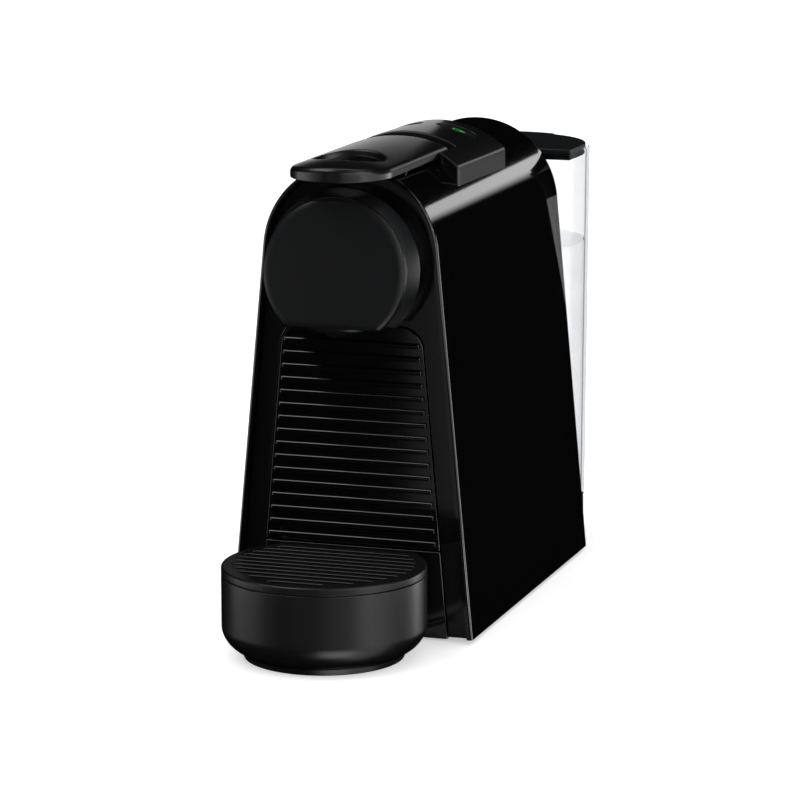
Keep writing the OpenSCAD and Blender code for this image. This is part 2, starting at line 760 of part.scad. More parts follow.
module tank_lid() color([0.05, 0.05, 0.052]) difference() {
  union() {
    translate([0, 0, tank_z - lid_plug]) linear_extrude(lid_plug + 0.6) tank2d(tank_t + 0.5);
    // thin plate over the plug, and the tab that reaches over the rim at the back
    translate([0, 0, tank_z + 0.1]) linear_extrude(1.5) tank2d(tank_t + 0.1);
    translate([0, 0, tank_z + 0.1]) linear_extrude(1.5) intersection() {
      tank2d(0);
      translate([-18, tank_y]) square([36, 60]);
    }
  }
  translate([0, 0, tank_z - 2 * lid_plug]) linear_extrude(2 * lid_plug - 1.4) tank2d(tank_t + 2.4);
}

module tank_filter() color([0.9, 0.9, 0.88]) difference() {
  translate([0, tank_y, tank_z0 + 2.4]) cylinder(r = 9, h = 7);
  translate([0, tank_y, tank_z0 + 1]) cylinder(r = 7.2, h = 7.2);
}

module tank_valve() color([0.8, 0.8, 0.8]) {
  translate([0, tank_y, 13.5]) cylinder(r = 2, h = 8);
  translate([0, tank_y, 19]) cylinder(r = 5, h = 1.6);
  translate([0, tank_y, 12]) difference() {
    cylinder(r = 6, h = 1.6);
    for (a = [0 : 60 : 300]) rotate(a) translate([4, 0, -1]) cylinder(r = 1.2, h = 4);
  }
}

module tank_dock() color([0.04, 0.04, 0.042]) difference() {
  intersection() {
    linear_extrude(dock_z1) tank2d(1.2);
    block(-60, 60, rear_y + 0.1, 200, 0, 60);
  }
  // hollow underside, cord channel and the socket for the tank's spigot
  translate([0, 0, -1]) linear_extrude(7) tank2d(4);
  block(cord_x - 4.5, cord_x + 4.5, 80, 200, -1, dock_z1 - 1.4);
  translate([0, tank_y, 8.5]) cylinder(r = 8.3, h = 20);
  bar_y(3.2, 80, tank_y + 1, 0, 12);
}

module dock_seal() color([0.1, 0.1, 0.1]) translate([0, tank_y, 8.5]) difference() {
  cylinder(r = 8.3, h = 1.4);
  translate([0, 0, -1]) cylinder(r = 5.6, h = 4);
}

// ---------- hydraulics ----------

module flow_meter() color([0.9, 0.9, 0.9]) difference() {
  union() {
    translate([meter_x, meter_y, meter_z - 6]) cylinder(r = 12, h = 12);
    translate([meter_x, meter_y, base_z1]) cylinder(r = 5, h = meter_z - 6 - base_z1 + eps);
    bar_x(3.4, meter_x - 15, meter_x + 15, meter_y, meter_z);
  }
  translate([meter_x, meter_y, meter_z - 4]) cylinder(r = 10, h = 8);
  bar_x(1.6, meter_x - 16, meter_x + 16, meter_y, meter_z);
}

module flow_rotor() color([0.2, 0.4, 0.8]) translate([meter_x, meter_y, meter_z]) {
  cylinder(r = 2.2, h = 7.4, center = true);
  for (a = [0 : 60 : 300]) rotate(a) translate([0, -0.6, -2.6]) cube([8.6, 1.2, 5.2]);
}

module pump_body() color([0.85, 0.85, 0.83]) difference() {
  union() {
    bar_y(9, pump_y - 36, pump_y + 22, -6, pump_z);
    bar_y(12, pump_y - 20, pump_y - 16, -6, pump_z);
    bar_y(12, pump_y + 14, pump_y + 18, -6, pump_z);
    bar_y(3.6, pump_y - 44, pump_y - 35.9, -6, pump_z);
    bar_y(3.6, pump_y + 21.9, pump_y + 30, -6, pump_z);
  }
  bar_y(1.6, pump_y - 46, pump_y + 32, -6, pump_z);
}

module pump_coil() color([0.15, 0.15, 0.4]) difference() {
  block(-26, 14, pump_y - 16, pump_y + 14, pump_z - 17, pump_z + 17);
  bar_y(9, pump_y - 20, pump_y + 20, -6, pump_z);
}

module pump_mounts() color([0.1, 0.1, 0.1]) for (y = [pump_y - 32, pump_y + 18]) difference() {
  union() {
    bar_y(13, y, y + 3.6, -6, pump_z);
    block(-14, 2, y, y + 3.6, base_z1, pump_z);
  }
  bar_y(9, y - 1, y + 5, -6, pump_z);
}

module heater_block() color([0.7, 0.7, 0.72]) difference() {
  union() {
    block(-20, 20, 8, 56, heater_z - 11, heater_z + 11);
    bar_y(3.4, 2, 62, -10, heater_z);
    bar_y(4.6, 4, 60, 10, heater_z);
  }
  bar_y(1.6, 0, 64, -10, heater_z);
}

module heater_clamp() color([0.4, 0.4, 0.42]) {
  for (y = [18, 44]) {
    block(-22, 22, y, y + 3, heater_z - 13, heater_z - 11);
    block(-22, 22, y, y + 3, heater_z + 11, heater_z + 13);
    both_sides() block(20, 22, y, y + 3, heater_z - 11 - eps, heater_z + 11 + eps);
    // tongue to the shell's wall
    both_sides() block(21.9, 41.4, y, y + 3, heater_z - 3, heater_z - 1);
  }
}

module thermostats() color([0.8, 0.75, 0.6]) for (y = [27.5, 38])
  translate([0, y, heater_z + 11]) cylinder(r = 5, h = 5);

module supply_hose() color([0.9, 0.9, 0.9])
  hose([[0, tank_y - 9, 12], [0, 98, 12], [0.5, 91, 12.1], [10, 87, 14], [30, 87, 18], [40, 81, 20], [42, 73, 20],
    [meter_x + 15, meter_y, meter_z]], 2.6);

module meter_hose() color([0.9, 0.9, 0.9])
  hose([[meter_x - 15, meter_y, meter_z], [meter_x - 18, meter_y, meter_z + 1], [-3, 75, pump_z - 2],
    [-6, pump_y + 34, pump_z], [-6, pump_y + 30, pump_z]], 2.6);

module pump_hose() color([0.9, 0.9, 0.9])
  hose([[-6, pump_y - 44, pump_z], [-6, pump_y - 49, pump_z + 6], [-9, pump_y - 48, 60], [-10, -6, heater_z - 10],
    [-10, 2, heater_z]], 2.6);

module brew_hose() color([0.9, 0.9, 0.9])
  hose([[-10, 62, heater_z], [-10, 67, heater_z + 8], [-4, 54, 140], [0, 24, cage_z - 3], [0, frame_back_y, cage_z]], 2.6);

module main_board() color([0.1, 0.3, 0.15]) block(-27, 27, 84, 85.6, 70, 150);

module board_parts() color([0.2, 0.2, 0.22]) {
  block(-22, -2, 72, 84, 120, 144);
  block(4, 22, 74, 84, 122, 136);
  bar_y(6, 66, 84, 12, 100);
  bar_y(5, 68, 84, -14, 98);
  block(-20, 16, 79, 84, 76, 84);
}

// ---------- assembly ----------

outer_shell();
front_fascia();
base_plate();
rear_cover();
rubber_feet();
base_screws();
head_drum();
head_cover();
spout();
outlet_duct();
control_saddle();
lever_pin();
lever();
crank_pins();
long_button();
short_button();
button_lights();
button_switches();
control_board();
brew_frame();
pierce_plate();
plate_seal();
capsule_cage();
cage_pin();
inlet_needles();
rocker_left();
rocker_right();
rocker_pins();
capsule_guide();
drip_tray();
drip_grid();
capsule_container();
container_rails();
water_tank();
tank_lid();
tank_filter();
tank_valve();
tank_handle_rib();
tank_dock();
dock_seal();
flow_meter();
flow_rotor();
pump_body();
pump_coil();
pump_mounts();
heater_block();
heater_clamp();
thermostats();
supply_hose();
meter_hose();
pump_hose();
brew_hose();
main_board();
board_parts();
cord_gland();
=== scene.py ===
"""Looks of the capsule coffee machine: rounded casing pieces, materials, soft studio light and camera.

Lengths in the shape code are millimetres in the part's frame (+Z up, front towards -Y).
Meshes are stored in metres.
"""
import json
import math

import bmesh
import bpy
import numpy as np
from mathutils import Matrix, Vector
from mathutils.geometry import delaunay_2d_cdt


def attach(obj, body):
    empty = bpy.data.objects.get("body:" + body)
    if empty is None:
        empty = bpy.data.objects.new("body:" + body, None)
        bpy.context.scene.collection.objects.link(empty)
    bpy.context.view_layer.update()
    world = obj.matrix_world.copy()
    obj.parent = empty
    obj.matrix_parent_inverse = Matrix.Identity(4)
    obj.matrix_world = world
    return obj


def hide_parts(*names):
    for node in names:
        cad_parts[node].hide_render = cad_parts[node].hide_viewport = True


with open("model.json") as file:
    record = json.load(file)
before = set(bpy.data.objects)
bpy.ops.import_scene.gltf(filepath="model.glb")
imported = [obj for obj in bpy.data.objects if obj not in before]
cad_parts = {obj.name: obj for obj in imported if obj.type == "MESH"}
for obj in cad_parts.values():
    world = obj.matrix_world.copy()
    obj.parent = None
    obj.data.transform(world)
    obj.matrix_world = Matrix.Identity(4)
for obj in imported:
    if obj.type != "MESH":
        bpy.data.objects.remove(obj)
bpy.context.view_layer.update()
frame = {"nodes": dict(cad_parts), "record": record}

MM = 0.001

# ---------------------------------------------------------------- dimensions shared with the CAD part
FRONT_Y, REAR_Y = -87.5, 93.5
ARCH_R, ARCH_Z, LEAN, WALL = 38.3, 161.8, math.radians(5.4), 2.4
SHELL_Z0 = 2.0
HEAD_Z, DRUM_R, COVER_R = 157.5, 33.15, 30.7
PIV_Y, PIV_Z = -23.1, 193.5
LEVER_HALF, LEVER_FRONT, LEVER_CROWN = 21.5, -95.5, 58.0
LEVER_TOP, LEVER_SLOPE, SKIRT_Z = 204.2, math.radians(0.6), 196.2
FINGER_Y = -87.5
SADDLE_R, SADDLE_TOP, SADDLE_HALF = 45.0, 205.0, 30.5
EAR_Y0, SADDLE_Y0, SADDLE_Y1, EAR_X = -34.5, -11.4, 36.5, 21.9
BUTTON_X, BUTTON_Y = 12.5, 20.5
TRAY_Y, TRAY_R, TRAY_CUT, TRAY_TOP, GRID_TOP = -120.2, 42.3, -88.2, 35.1, 38.5
TANK_Y, TANK_Y0, TANK_R, TANK_T, TANK_Z0, TANK_Z1 = 117.5, 95.3, 45.0, 1.8, 18.0, 184.5
WATER_Z = 141.0
PANEL_FRONT, PANEL_BACK = 84.9, 82.7
SPOUT_Y = -103.5

# ---------------------------------------------------------------- shapes that only the visual model has
# shares of the casing's outline that each leg and the arch take
LEG_SHARE, ARCH_SHARE = 0.3, 0.4
# rounding of the casing's rear edge and of its front lip
REAR_ROUND, LIP = 0.8, 1.15
# head cover: how far forward its middle is, its lean and its crown
FACE_FRONT, FACE_LEAN, FACE_CROWN = 109.4, math.radians(7), 0.0012
# lever: curve of its nose and of its skirt, and the length of the skirt's curve
NOSE_DROOP, SKIRT_DROOP, LEVER_REACH = 0.0052, 0.3, 94
# buttons: depth below the saddle, and the extra depth at their middle
BUTTON_DROP, BUTTON_DISH = 0.55, 0.35
RIB_COUNT, RIB_TOP, RIB_PITCH, RIB_HALF = 16, 124.7, 5.546, 1.1
SLOT_COUNT, SLOT_PITCH, SLOT_HALF = 13, 5.8, 1.5
# narrowing of the tank for each millimetre below its top, and half the width of the lid's tab
TANK_TAPER, TAB_HALF = 0.00012, 18
# studio reflectors, in metres from the origin and above the floor
CARD_DISTANCE, CARD_CENTRE_Z = 3.0, 0.17
BACKDROP_LEVEL = 1.12


def panel_half(z):
    return 30.4 + 0.0877 * (132 - z)


# ---------------------------------------------------------------- outlines
def arc(cu, cv, r, a0, a1, n):
    """n + 1 points on a circle, angles in degrees."""
    return [(cu + r * math.cos(math.radians(a0 + (a1 - a0) * k / n)),
             cv + r * math.sin(math.radians(a0 + (a1 - a0) * k / n))) for k in range(n + 1)]


def circle(cu, cv, r, n=64):
    return arc(cu, cv, r, 0, 360, n)[:-1]


def rounded(corners, n=6):
    """Closed outline from (u, v, corner radius), anticlockwise."""
    out = []
    for i, (u, v, r) in enumerate(corners):
        p = np.array([u, v])
        a = np.array(corners[i - 1][:2]) - p
        b = np.array(corners[(i + 1) % len(corners)][:2]) - p
        a, b = a / np.linalg.norm(a), b / np.linalg.norm(b)
        if r <= 0:
            out.append((u, v))
            continue
        half = math.acos(max(-1, min(1, float(a @ b)))) / 2
        cut = r / math.tan(half)
        centre = p + (a + b) / np.linalg.norm(a + b) * r / math.sin(half)
        s, e = p + a * cut - centre, p + b * cut - centre
        a0, a1 = math.atan2(s[1], s[0]), math.atan2(e[1], e[0])
        turn = (a1 - a0 + math.pi) % (2 * math.pi) - math.pi
        out += [(centre[0] + r * math.cos(a0 + turn * k / n), centre[1] + r * math.sin(a0 + turn * k / n))
                for k in range(n + 1)]
    return out


def dense(loop, step):
    """The same outline with no edge longer than step."""
    out = []
    for i, p in enumerate(loop):
        q = loop[(i + 1) % len(loop)]
        n = max(1, math.ceil(math.hypot(q[0] - p[0], q[1] - p[1]) / step))
        if math.hypot(q[0] - p[0], q[1] - p[1]) < 1e-6:
            continue
        out += [(p[0] + (q[0] - p[0]) * k / n, p[1] + (q[1] - p[1]) * k / n) for k in range(n)]
    return out


def inset(loop, d):
    """Outline moved by d into the material: inwards if anticlockwise, outwards if a clockwise hole."""
    p = np.array(loop, float)
    e1, e2 = p - np.roll(p, 1, 0), np.roll(p, -1, 0) - p
    e1 /= np.linalg.norm(e1, axis=1)[:, None]
    e2 /= np.linalg.norm(e2, axis=1)[:, None]
    n1, n2 = np.stack([-e1[:, 1], e1[:, 0]], 1), np.stack([-e2[:, 1], e2[:, 0]], 1)
    m = (n1 + n2) / np.maximum(0.35, 1 + (n1 * n2).sum(1))[:, None]
    return p + d * m


def inside(points, loops):
    """Which points are inside the first outline and outside the others."""
    p, hit = np.asarray(points, float), np.zeros(len(points), bool)
    for loop in loops:
        q = np.asarray(loop, float)
        for a, b in zip(q, np.roll(q, -1, 0)):
            cross = (a[1] > p[:, 1]) != (b[1] > p[:, 1])
            if a[1] != b[1]:
                hit ^= cross & (p[:, 0] < (b[0] - a[0]) * (p[:, 1] - a[1]) / (b[1] - a[1]) + a[0])
    return hit


def near(p, q, limit):
    """Which points of p are closer than limit to some point of q."""
    out = np.zeros(len(p), bool)
    for k in range(0, len(p), 512):
        d = ((p[k:k + 512, None, :] - q[None, :, :]) ** 2).sum(2).min(1)
        out[k:k + 512] = d < limit * limit
    return out


# ---------------------------------------------------------------- meshes
def make(name, verts, faces, material, body, sharp=40):
    """A mesh object in metres that rides on a CAD body, smooth except at edges over sharp degrees."""
    mesh = bpy.data.meshes.new(name)
    mesh.from_pydata([tuple(float(c) * MM for c in v) for v in verts], [], faces)
    bm = bmesh.new()
    bm.from_mesh(mesh)
    bmesh.ops.remove_doubles(bm, verts=bm.verts, dist=1e-7)
    bmesh.ops.dissolve_degenerate(bm, dist=1e-8, edges=bm.edges)
    bm.to_mesh(mesh)
    bm.free()
    mesh.shade_smooth()
    mesh.set_sharp_from_angle(angle=math.radians(sharp))
    obj = bpy.data.objects.new(name, mesh)
    bpy.context.scene.collection.objects.link(obj)
    mesh.materials.append(material)
    even(obj)
    if body:
        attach(obj, body)
    return obj


def even(obj):
    """Keeps broad faces flat in shading next to small rounded edges."""
    m = obj.modifiers.new("even", "WEIGHTED_NORMAL")
    m.keep_sharp = True


def flat(u, v, w):
    return (u, v, w)


def down(u, v, w):
    return (u, -v, -w)


def front(u, v, w):
    return (u, -w, v)


def back(u, v, w):
    return (-u, w, v)


def side(u, v, w):
    return (w, u, v)


def bend(u, v, w):
    """Flat in front of the lever's pivot, then wound down around it."""
    if v <= PIV_Y:
        return (u, v, w)
    a = (v - PIV_Y) / (LEVER_TOP - PIV_Z)
    return (u, PIV_Y + (w - PIV_Z) * math.sin(a), PIV_Z + (w - PIV_Z) * math.cos(a))


def fillet(r, n=5):
    """Rounded edge as (inset, drop below the surface), from the wall up to the surface."""
    if r <= 0:
        return [(0.0, 0.0)]
    return [(r * (1 - math.cos(math.pi / 2 * k / n)),
             r * (1 - math.sin(math.pi / 2 * k / n))) for k in range(n + 1)]


def as_function(value):
    return value if callable(value) else (lambda u, v: value)


def slab(name, loops, top, bottom, material, body, edge=0.6, foot=0.0, hollow=None, place=flat, step=4.0,
         spacing=None, edges=None):
    """Closed piece over an outline with holes. Its upper edges are rounded by edge, its lower ones by foot.

    hollow is (wall, ceiling): the piece is open below, with walls that thick up to that ceiling.
    """
    top, bottom = as_function(top), as_function(bottom)
    loops = [dense(l, step) for l in loops]
    verts, faces, rims, floors = [], [], [], []

    def ring(points, height):
        start = len(verts)
        verts.extend(place(u, v, height(u, v)) for u, v in points)
        return start

    def join(a, b, n):
        faces.extend([a + k, a + (k + 1) % n, b + (k + 1) % n, b + k] for k in range(n))

    for i, loop in enumerate(loops):
        n = len(loop)
        low = fillet(foot, 3)
        rings = []
        if hollow:
            t, ceiling = hollow
            ceiling = as_function(ceiling)
            rings.append(ring(inset(loop, t), ceiling))
            floors.append((inset(loop, t), rings[0]))
            for d, h in low:
                rings.append(ring(inset(loop, t - d), lambda u, v, h=h: bottom(u, v) + h))
            for d, h in reversed(low):
                rings.append(ring(inset(loop, d), lambda u, v, h=h: bottom(u, v) + h))
        else:
            for d, h in reversed(low):
                rings.append(ring(inset(loop, d), lambda u, v, h=h: bottom(u, v) + h))
            floors.append((inset(loop, low[-1][0]), rings[0]))
        profile = (edges or {}).get(i) or fillet(edge)
        for d, h in profile:
            rings.append(ring(inset(loop, d), lambda u, v, h=h: top(u, v) - h))
        rims.append((inset(loop, profile[-1][0]), rings[-1]))
        for a, b in zip(rings, rings[1:]):
            join(a, b, n)

    def cap(rings, height, up, gap):
        points = [np.asarray(r, float) for r, _ in rings]
        index = [s + k for r, s in rings for k in range(len(r))]
        flat_points = np.concatenate(points)
        inner = np.zeros((0, 2))
        if gap:
            lo, hi = flat_points.min(0), flat_points.max(0)
            grid = np.array([(lo[0] + gap * (a + 0.5 * (b % 2)), lo[1] + gap * 0.866 * b)
                             for b in range(int((hi[1] - lo[1]) / gap / 0.866) + 2)
                             for a in range(int((hi[0] - lo[0]) / gap) + 2)])
            grid = grid[inside(grid, points)]
            inner = grid[~near(grid, flat_points, gap * 0.55)] if len(grid) else inner
        start = len(verts)
        verts.extend(place(u, v, height(u, v)) for u, v in inner)
        index += list(range(start, start + len(inner)))
        allp = np.concatenate([flat_points, inner])
        fixed, base = [], 0
        for p in points:
            fixed += [(base + k, base + (k + 1) % len(p)) for k in range(len(p))]
            base += len(p)
        got = delaunay_2d_cdt([Vector(map(float, p)) for p in allp], fixed, [], 0, 1e-7)
        new, tris, origin = got[0], got[2], got[3]
        centres = np.array([(sum(new[k][0] for k in t) / 3, sum(new[k][1] for k in t) / 3) for t in tris])
        keep = inside(centres, points)
        for t, ok in zip(tris, keep):
            if not ok:
                continue
            ids = []
            for k in t:
                if origin[k]:
                    ids.append(index[origin[k][0]])
                else:
                    verts.append(place(new[k][0], new[k][1], height(new[k][0], new[k][1])))
                    ids.append(len(verts) - 1)
            area = ((new[t[1]][0] - new[t[0]][0]) * (new[t[2]][1] - new[t[0]][1])
                    - (new[t[2]][0] - new[t[0]][0]) * (new[t[1]][1] - new[t[0]][1]))
            faces.append(ids if (area > 0) == up else ids[::-1])

    cap(rims, top, True, spacing)
    cap(floors, as_function(hollow[1]) if hollow else bottom, False, spacing if hollow else None)
    return make(name, verts, faces, material, body)


def loft(name, rings, material, body, sharp=40):
    """Closed rings of equal length joined in order, going outwards or upwards anticlockwise."""
    n = len(rings[0])
    verts = [p for r in rings for p in r]
    faces = [[j * n + k, j * n + (k + 1) % n, (j + 1) * n + (k + 1) % n, (j + 1) * n + k]
             for j in range(len(rings) - 1) for k in range(n)]
    faces.append(list(range(n))[::-1])
    faces.append([(len(rings) - 1) * n + k for k in range(n)])
    return make(name, verts, faces, material, body, sharp)


def lathe(name, profile, centre, material, body, n=64, sx=1.0, sy=1.0):
    """Turned piece: profile is (radius, z) from the bottom up, on a vertical axis at centre."""
    rings = [[(centre[0] + sx * r * math.cos(2 * math.pi * k / n),
               centre[1] + sy * r * math.sin(2 * math.pi * k / n), z)
              for k in range(n)] for r, z in profile]
    return loft(name, rings, material, body)


def cut(obj, *cutters):
    """Takes the cutters' shapes out of obj and removes them."""
    obj.modifiers.clear()
    for c in cutters:
        m = obj.modifiers.new("cut", "BOOLEAN")
        m.operation, m.solver, m.object = "DIFFERENCE", "EXACT", c
        with bpy.context.temp_override(object=obj, active_object=obj, selected_objects=[obj]):
            bpy.ops.object.modifier_apply(modifier=m.name)
        bpy.data.objects.remove(c)
    obj.data.shade_smooth()
    obj.data.set_sharp_from_angle(angle=math.radians(35))
    even(obj)


def cutter(loop, w0, w1, place):
    return slab("cutter", [loop], w1, w0, MAT["gloss_black"], None, edge=0, place=place, step=400)


def box(u0, u1, v0, v1):
    return [(u0, v0), (u1, v0), (u1, v1), (u0, v1)]


# ---------------------------------------------------------------- materials
def material(name, color, roughness, metallic=0.0, ior=1.5, grain=0.0, grain_size=900.0, wear=0.0,
             transmission=0.0, emission=None, coat=0.0, wave=0.0, absorb=None, shine=0.5):
    """Principled material with slow roughness variation, a fine surface grain and a faint change of tone."""
    m = bpy.data.materials.new(name)
    m.use_nodes = True
    nodes, links = m.node_tree.nodes, m.node_tree.links
    p = nodes["Principled BSDF"]
    p.inputs["Base Color"].default_value = (*color, 1)
    p.inputs["Roughness"].default_value = roughness
    p.inputs["Metallic"].default_value = metallic
    p.inputs["IOR"].default_value = ior
    p.inputs["Transmission Weight"].default_value = transmission
    p.inputs["Coat Weight"].default_value = coat
    p.inputs["Specular IOR Level"].default_value = shine
    if coat:
        p.inputs["Coat Roughness"].default_value = 0.06
    if emission:
        p.inputs["Emission Color"].default_value = (*emission[0], 1)
        p.inputs["Emission Strength"].default_value = emission[1]
    if absorb:
        body = nodes.new("ShaderNodeVolumeAbsorption")
        body.inputs["Color"].default_value = (*absorb[0], 1)
        body.inputs["Density"].default_value = absorb[1]
        links.new(body.outputs["Volume"], nodes["Material Output"].inputs["Volume"])
    where = nodes.new("ShaderNodeTexCoord")
    if wear:
        slow = nodes.new("ShaderNodeTexNoise")
        slow.inputs["Scale"].default_value = 14
        slow.inputs["Detail"].default_value = 2
        links.new(where.outputs["Object"], slow.inputs["Vector"])
        span = nodes.new("ShaderNodeMapRange")
        span.inputs["To Min"].default_value = max(0.0, roughness - wear)
        span.inputs["To Max"].default_value = roughness + wear
        links.new(slow.outputs["Fac"], span.inputs["Value"])
        links.new(span.outputs["Result"], p.inputs["Roughness"])
        tone = nodes.new("ShaderNodeMix")
        tone.data_type = "RGBA"
        tone.inputs[6].default_value = (*[c * 0.9 for c in color], 1)
        tone.inputs[7].default_value = (*[min(1, c * 1.1) for c in color], 1)
        links.new(slow.outputs["Fac"], tone.inputs[0])
        links.new(tone.outputs[2], p.inputs["Base Color"])
    if grain or wave:
        fine = nodes.new("ShaderNodeTexNoise")
        fine.inputs["Scale"].default_value = grain_size
        fine.inputs["Detail"].default_value = 3
        source = where.outputs["Object"]
        if wave:
            stretch = nodes.new("ShaderNodeMapping")
            stretch.inputs["Scale"].default_value = (1, 0.04, 1)
            links.new(source, stretch.inputs["Vector"])
            source = stretch.outputs["Vector"]
        links.new(source, fine.inputs["Vector"])
        bump = nodes.new("ShaderNodeBump")
        bump.inputs["Strength"].default_value = grain or wave
        bump.inputs["Distance"].default_value = 0.0001
        links.new(fine.outputs["Fac"], bump.inputs["Height"])
        links.new(bump.outputs["Normal"], p.inputs["Normal"])
    m.diffuse_color = (*color, 1)
    return m


MAT = {
    "gloss_black": material("gloss_black_plastic", (0.0012, 0.0012, 0.0014), 0.06, wear=0.008),
    "fascia_black": material("fascia_black_plastic", (0.0012, 0.0012, 0.0014), 0.14, wear=0.01),
    "piano_black": material("lever_black_plastic", (0.002, 0.002, 0.0022), 0.3, wear=0.015, shine=0.36),
    "satin_black": material("satin_black_plastic", (0.0030, 0.0034, 0.0041), 0.4, grain=0.12, wear=0.02,
                            shine=0.22),
    "tray_black": material("tray_black_plastic", (0.003, 0.003, 0.0034), 0.33, grain=0.06, wear=0.02,
                           shine=0.3),
    "matt_black": material("matt_black_plastic", (0.012, 0.012, 0.0125), 0.55, grain=0.2, wear=0.03),
    "rubber": material("black_rubber", (0.02, 0.02, 0.02), 0.75, grain=0.3, wear=0.04),
    "seal_red": material("seal_silicone", (0.3, 0.05, 0.03), 0.5, grain=0.1, wear=0.04),
    "steel": material("turned_steel", (0.56, 0.57, 0.58), 0.28, metallic=1, wave=0.2, wear=0.04),
    "grey_plastic": material("grey_plastic", (0.09, 0.09, 0.095), 0.45, grain=0.15, wear=0.03),
    "light_green": material("light_guide", (0.05, 0.5, 0.12), 0.3, wear=0.03,
                            emission=((0.05, 0.9, 0.15), 0.4)),
    "board_green": material("board_green", (0.01, 0.1, 0.035), 0.4, grain=0.15, wear=0.05),
    "white_plastic": material("white_plastic", (0.7, 0.7, 0.68), 0.45, grain=0.1, wear=0.03),
    "blue_plastic": material("blue_plastic", (0.05, 0.15, 0.5), 0.4, grain=0.1, wear=0.03),
    "coil_blue": material("coil_resin", (0.04, 0.06, 0.2), 0.35, grain=0.1, wear=0.05),
    "aluminium": material("cast_aluminium", (0.6, 0.6, 0.62), 0.42, metallic=1, grain=0.4, grain_size=500,
                          wear=0.05),
    "brass": material("brass", (0.6, 0.42, 0.15), 0.3, metallic=1, wave=0.2, wear=0.05),
    "white_hose": material("silicone_hose", (0.75, 0.75, 0.73), 0.5, grain=0.05, wear=0.03),
    "clear_tank": material("clear_tank_plastic", (0.99, 0.99, 0.99), 0.02, ior=1.01, transmission=1.0,
                           coat=0.08, wear=0.01, absorb=((0.40, 0.42, 0.46), 42)),
    "water": material("water", (0.99, 0.99, 0.99), 0.02, ior=1.01, transmission=1.0, coat=0.35, wear=0.005,
                      absorb=((0.5, 0.53, 0.56), 1.8)),
    "icon": material("icon_green", (0.01, 0.12, 0.015), 0.4, wear=0.02, emission=((0.03, 0.42, 0.05), 0.6)),
    "icon_dim": material("icon_green_dim", (0.01, 0.05, 0.012), 0.4, wear=0.02,
                         emission=((0.02, 0.12, 0.03), 0.3)),
}

for entry in frame["record"]["subparts"]:
    node = frame["nodes"][entry["node"]]
    node.data.materials.clear()
    node.data.materials.append(MAT[entry["material_slot"]])


def done(obj, slot, *nodes):
    if nodes:
        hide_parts(*nodes)
    return obj


# ---------------------------------------------------------------- casing
def arch_point(t, s):
    """Point (x, z) on the arch moved inwards by t; s runs from 0 at the right foot to 1 at the left foot."""
    r = ARCH_R - t
    xt, zt = r * math.cos(LEAN), ARCH_Z + r * math.sin(LEAN)
    xb = xt + (zt - SHELL_Z0) * math.tan(LEAN)
    leg, right = LEG_SHARE, 1.0
    if s > 0.5:
        s, right = 1 - s, -1.0
    if s < leg:
        f = s / leg
        return right * (xb + (xt - xb) * f), SHELL_Z0 + (zt - SHELL_Z0) * f
    a = LEAN + (s - leg) / (0.5 - leg) * (math.pi / 2 - LEAN)
    return right * r * math.cos(a), ARCH_Z + r * math.sin(a)


S_VALUES = [LEG_SHARE * k / 10 for k in range(10)]
S_VALUES += [LEG_SHARE + ARCH_SHARE * k / 120 for k in range(121)]
S_VALUES += [LEG_SHARE + ARCH_SHARE + LEG_SHARE * k / 10 for k in range(1, 11)]
# (depth below the outer surface, y) around the wall, from the rear edge over the front lip and back
section = [(REAR_ROUND, REAR_Y)]
section += [(REAR_ROUND * (1 - math.sin(a)), REAR_Y - REAR_ROUND * (1 - math.cos(a)))
            for a in np.linspace(0, math.pi / 2, 5)[1:]]
section += [(0.0, y) for y in np.linspace(REAR_Y - 6, FRONT_Y + 6, 12)]
section += [(LIP * (1 - math.cos(a)), FRONT_Y + LIP * (1 - math.sin(a)))
            for a in np.linspace(0, math.pi / 2, 9)]
section += [(WALL - LIP * math.cos(a), FRONT_Y + LIP * (1 - math.sin(a)))
            for a in np.linspace(math.pi / 2, 0, 9)]
section += [(WALL, y) for y in np.linspace(FRONT_Y + 6, REAR_Y - 2, 8)] + [(WALL - 0.4, REAR_Y)]
verts, faces = [], []
for s in S_VALUES:
    for t, y in section:
        x, z = arch_point(t, s)
        verts.append((x, y, z))
m = len(section)
for i in range(len(S_VALUES) - 1):
    for j in range(m):
        k = (j + 1) % m
        faces.append([i * m + j, i * m + k, (i + 1) * m + k, (i + 1) * m + j])
faces.append(list(range(m))[::-1])
faces.append([(len(S_VALUES) - 1) * m + j for j in range(m)])
shell = make("Casing", verts, faces, MAT["gloss_black"], "machine", 35)
# openings below the lever, its pivot and the buttons
cut(shell, cutter(box(-20.5, 20.5, -81, -40), 180, 210, flat),
    cutter(box(-26, 26, -33.5, -3), 184, 210, flat), cutter(box(-23, 23, 8, 33), 186, 210, flat))
done(shell, "gloss_black", "outer_shell")

fascia_loop = [arch_point(WALL + 0.1, s) for s in S_VALUES]
a, b = panel_half(SHELL_Z0) + 0.5, panel_half(132.5) + 0.5
opening = [(-b, 132.6, 10.5), (-a, SHELL_Z0 - 6, 0), (a, SHELL_Z0 - 6, 0), (b, 132.6, 10.5)]
opening = [p for p in rounded(opening, 12) if p[1] > SHELL_Z0]
fascia_loop += [(-a, SHELL_Z0)] + sorted([p for p in opening if p[0] < 0], key=lambda p: (p[1], p[0]))
fascia_loop += sorted([p for p in opening if p[0] > 0], key=lambda p: (-p[1], p[0])) + [(a, SHELL_Z0)]
fascia = slab("Front_fascia", [fascia_loop], 84.7, 82.4, MAT["fascia_black"], "machine", edge=0.3,
              place=front, step=3)
done(fascia, "gloss_black", "front_fascia")

